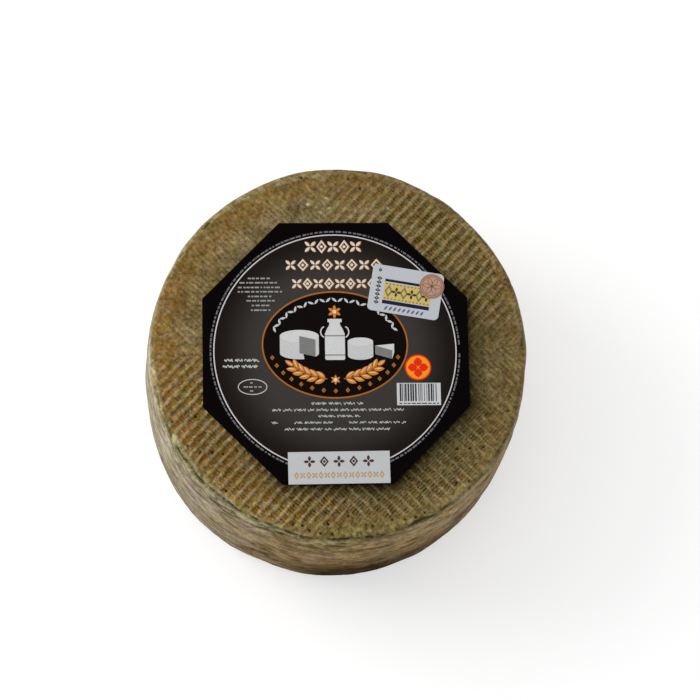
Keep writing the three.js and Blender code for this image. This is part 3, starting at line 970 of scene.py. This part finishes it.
notch_rim = arc(CUT_MIDDLE, CUT_AXES, *NOTCH, 9)
notch_middle = CUT_MIDDLE + np.linspace(0, 0.05, 9)[:, None]
last_cut = np.array([CUT_MIDDLE, arc(CUT_MIDDLE, CUT_AXES, NOTCH[1], NOTCH[1] + 0.01, 2)[0]])
churn_heights = CHURN_FOOT + CHURN_SCALE * CHURN_HEIGHTS
churn_path = np.stack([0 * churn_heights + CHURN_AT, churn_heights], 1)
top_faces = [
    oval(CUT_MIDDLE, CUT_AXES, 49),
    oval(SMALL_MIDDLE, SMALL_AXES),
    (WEDGE[[0, 1]], WEDGE[[0, 2]] - (0, 0.05), False),
    stroke(churn_path, CHURN_SCALE * CHURN_HALF),
]
for hand in (-1, 1):
    handle_middle = (CHURN_AT + hand * 5.3, 11.2)
    handle = arc(handle_middle, (2.2, 2.9), 90 - hand * 170, 90 - hand * 10, 13)
    top_faces.append(stroke(handle, 0.32))
near_sides = [
    drum(CUT_MIDDLE, CUT_AXES, CUT_DEEP),
    drum(SMALL_MIDDLE, SMALL_AXES, SMALL_DEEP),
    (WEDGE[[2, 1]], WEDGE[[2, 1]] + WEDGE_DEEP, False),
]
cut_faces = [
    (last_cut, last_cut + CUT_DEEP, False),
    (WEDGE[[0, 2]], WEDGE[[0, 2]] + WEDGE_DEEP, False),
]
bands = [box(CHURN_AT - 5.3, CHURN_AT + 5.3, height, height + 0.6) for height in (-1.8, 8.8)]
printed("print_pale_pictures", top_faces, 2, white)
printed("print_grey_pictures", near_sides, 3, pale_grey)
printed("print_notch", [(notch_middle, notch_rim + CUT_DEEP * 1.05, False)], 4, black)
printed("print_cut_faces", cut_faces, 5, mid_grey)
printed("print_churn_bands", bands, 3, mid_grey)

# Small waves and dashes, where a label has its particulars. Each row of waves: left and right
# end, height above the label's middle, how tall, and the line that it is drawn in.
WAVE_ROWS = [
    (-13.4, 14, -28, 1.9, 0.3), (-34.3, 35.7, -31.5, 1.8, 0.3), (-9.9, 12.3, -34.9, 1.7, 0.3),
    (-27.9, 30, -42, 1.8, 0.3), (-34.9, -29.1, -38.4, 1.7, 0.3), (-22.6, -0.2, -38.4, 1.7, 0.3),
    (6.4, 36.6, -38.4, 1.7, 0.3), (-59.4, -40.6, -4.2, 2.2, 0.4), (-60.2, -40, -7.6, 2.2, 0.4),
]
# Each row of dashes: left and right end, height, and how tall. The last three are in an oval.
DASH_ROWS = [
    (-46.5, -34, 41, 0.85), (-51, -30, 38.6, 0.85), (-51.8, -28.6, 36, 0.85),
    (-52, -28.2, 33.6, 0.85), (-46.6, -32.6, 31, 0.85), (-47.4, -32.2, 28.6, 0.85),
    (-44.6, -34, 26, 0.85), (-45, -34, 23.4, 0.85),
    (-45.8, -43.4, -16.6, 0.8), (-49.4, -39.8, -18.8, 0.8), (-46, -43.2, -21, 0.8),
]
particulars = sum((wave(*row) for row in WAVE_ROWS), [])
particulars.append(stroke(arc((-44.6, -18.8), (7.6, 4.1), 0, 360, 48), 0.22, True))
printed("print_particulars", particulars, 1, pale_grey)
printed("print_notes", sum((dashes(*row) for row in DASH_ROWS), []), 1, grey)

# A round orange and red mark with a flower, and a white box of upright lines over a row of dashes
MARK_MIDDLE = np.array([43.7, -8.5])
printed("print_mark_edge", [oval(MARK_MIDDLE, (7.05, 7.05), 49)], 1, red)
printed("print_mark", [oval(MARK_MIDDLE, (6.35, 6.35), 49)], 2, bright_orange)
printed("print_mark_flower", flower(MARK_MIDDLE, 11, 4, 0.8), 3, red)
printed("print_box", [box(32.1, 55.5, -29.2, -17)], 1, box_white)
box_lines, line_left = [], 33.6
while line_left < 53.6:
    line_wide = dice.choice([0.3, 0.45, 0.8])
    box_lines.append(box(line_left, line_left + line_wide, -27, -17.4))
    line_left += line_wide + dice.choice([0.35, 0.6, 1.0])
box_lines += dashes(33.4, 54.4, -28.2, 0.55)
printed("print_box_lines", box_lines, 2, dark)


# The strip
# A narrow strip of white satin paper stuck over the lower edge of the label, printed with a row
# of dark brown flowers and lozenges and a row of small gold ones.
STRIP_TURN = 0.6
STRIP_ROW, SMALL_ROW = 3.4, -4  # above the strip's middle
strip_paper = coated("white_strip_paper", "a9aaab", "b3b4b6", 0.6)
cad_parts["label_strip"].material_slots[0].material = strip_paper
brown_ink = coated("brown_ink", "35241f", "46332d", shine=0.1)
pale_gold = coated("pale_gold_ink", "a08050", "b09060", shine=0.2)
large_row, small_row = [], []
for number, x in enumerate(np.linspace(-15.6, 15.6, 5)):
    spot = np.array([x, STRIP_ROW])
    if number % 2:
        large_row += [lozenge(spot, 4.8, 6, 0.85), oval(spot, (0.7, 0.7), 13)]
    else:
        large_row += flower(spot, 6.2, 4, 0.5)
for number, x in enumerate(np.linspace(-22.6, 22.6, 15)):
    spot = np.array([x, SMALL_ROW])
    if number % 2:
        small_row += flower(spot, 3.9, 4, 0.45, 45)
    else:
        small_row.append(lozenge(spot, 2.7, 4.2, 0.6))
printed("strip_print_ornaments", large_row, 1, brown_ink, "label_strip", STRIP_TURN)
printed("strip_print_leaves", small_row, 1, pale_gold, "label_strip", STRIP_TURN)


# The sticker
# A small coated white sticker with round corners, put on by hand at a slant. Its print is a row
# of lozenges and flowers on yellow between two dark bands, and marks along two edges.
STICKER_TURN = -9.8
FIELD_LEFT, FIELD_RIGHT = -11.8, 13.6
FIELD_ROW = -1  # above the sticker's middle
sticker_paper = coated("white_sticker_paper", "a7aaaf", "b1b4b9", 0.5)
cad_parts["seal_sticker"].material_slots[0].material = sticker_paper
navy = coated("navy_ink", "10102a", "1a1a38", shine=0.1)
yellow = coated("yellow_ink", "b49e5c", "c0aa68", shine=0.2)
olive = coated("olive_ink", "6c6234", "7c7240", shine=0.2)
dark_green = coated("dark_green_ink", "302f1c", "3e3d28", shine=0.1)
blue_grey = coated("blue_grey_ink", "484c6c", "5c6084", shine=0.1)
navy_bands = [box(FIELD_LEFT, FIELD_RIGHT, low, high) for low, high in ((4.2, 5.6), (-8.2, -6.2))]
field_marks = [lozenge(np.array([x, FIELD_ROW]), 4.2, 7, 0.8) for x in (-9.2, -0.9, 7.4)]
for y in (-5.1, 3):
    field_marks += [leaf((x, y), 1.2, 0.7, 0) for x in np.linspace(-10.8, 12.6, 13)]
field_flowers = []
for x in (-5.05, 3.25, 11.4):
    field_flowers += flower(np.array([x, FIELD_ROW]), 5.4, 4, 0.5)
edge_marks = [lozenge(np.array([-14.9, y]), 3, 2, 0.55) for y in np.linspace(-8, 5.4, 7)]
edge_marks.append(lozenge(np.array([-15.2, 10]), 2, 2.4, 0.5))
edge_leaves = [leaf((x, -10.5), 2.9, 1.0, 60) for x in np.linspace(-9.3, 10.2, 9)]
for name, shapes, layer_of_ink, ink in (
    ("field", [box(FIELD_LEFT, FIELD_RIGHT, -5.9, 3.8)], 1, yellow),
    ("bands", navy_bands, 1, navy),
    ("lozenges", field_marks, 2, olive),
    ("flowers", field_flowers, 2, dark_green),
    ("edge_marks", edge_marks, 1, dark),
    ("leaves", edge_leaves, 1, blue_grey),
):
    printed("sticker_print_" + name, shapes, layer_of_ink, ink, "seal_sticker", STICKER_TURN)


# The seal
# A disc of copper-coloured foil stuck half over the sticker's corner, embossed with two rings and
# a flower of fine lines.
SEAL_RADIUS = 6.6
foil = coated("copper_foil", "a27e68", "b49078", 0.38, metal=0.2)
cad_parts["foil_seal"].material_slots[0].material = foil
foil_line = coated("copper_foil_line", "6e3c30", "7e4a3c", 0.4)
marks = [stroke(arc(0, SEAL_RADIUS * 0.8, 0, 360, 60), 0.16, True)]
marks.append(stroke(arc(0, SEAL_RADIUS - 0.4, 0, 360, 60), 0.2, True))
for spot, way in zip(arc(0, 2.5, 0, 360, 6), np.arange(0, 360, 60)):
    petal = placed(arc(0, np.array([2.3, 1.0]), 0, 360, 28), spot, way)
    marks.append(stroke(petal, 0.13, True))
printed("seal_lines", marks, 1, foil_line, "foil_seal", STICKER_TURN)


# The studio
# A pale sweep of floor, a broad soft light from the left, and light all round from pale walls.
FLOOR_HALF = 3000
WALL_LIGHT = 1.2
CEILING_LIGHT = 0.55
LEFT_SHARE = 0.3
BACK_SHARE = 0.25
KEY_PLACE = (-950, 330, 700)
KEY_SIZE = 700
KEY_WATTS = 8
FLOOR_GLOW = 0.46  # the table is lit from below, as for a picture on white
floor_corners = [(x * FLOOR_HALF, y * FLOOR_HALF, 0) for x, y in ((-1, -1), (1, -1), (1, 1), (-1, 1))]
floor = mesh_piece("floor", floor_corners, [[0, 1, 2, 3]])
pale, _, pale_shader = material("lit_pale_floor", 0.9, Emission_Strength=FLOOR_GLOW)
pale_shader.inputs["Base Color"].default_value = linear("c8c8c8")
pale_shader.inputs["Emission Color"].default_value = (1, 1, 1, 1)
floor.data.materials.append(pale)

# The walls are brightest low down, on the left and at the back, and the ceiling is dim
studio = bpy.data.worlds.new("pale_studio")
studio.use_nodes = True
light_tree = studio.node_tree
toward = add(light_tree, "SeparateXYZ", {0: add(light_tree, "TexCoord", {})["Generated"]})
rising = add(light_tree, "Math", {0: toward["Z"], 1: toward["Z"]}, operation="MULTIPLY")[0]
glow = add(light_tree, "MapRange", {"Value": rising, "To Min": WALL_LIGHT, "To Max": CEILING_LIGHT})[0]
for way, low, high in (
    ("X", 1 + LEFT_SHARE, 1 - LEFT_SHARE), ("Y", 1 - BACK_SHARE, 1 + BACK_SHARE),
):
    lit = add(
        light_tree, "MapRange", {"Value": toward[way], "From Min": -1, "To Min": low, "To Max": high},
    )[0]
    glow = add(light_tree, "Math", {0: glow, 1: lit}, operation="MULTIPLY")[0]
light_tree.links.new(glow, light_tree.nodes["Background"].inputs["Strength"])
light_tree.nodes["Background"].inputs["Color"].default_value = (1, 1, 1, 1)
bpy.context.scene.world = studio

key = bpy.data.lights.new("key_light", "AREA")
key.size = KEY_SIZE * METRES
key.energy = KEY_WATTS
key_light = bpy.data.objects.new("key_light", key)
key_light.location = Vector(KEY_PLACE) * METRES
key_light.rotation_euler = Vector(KEY_PLACE).to_track_quat("Z", "Y").to_euler()
bpy.context.scene.collection.objects.link(key_light)
bpy.context.scene.view_settings.view_transform = "Standard"
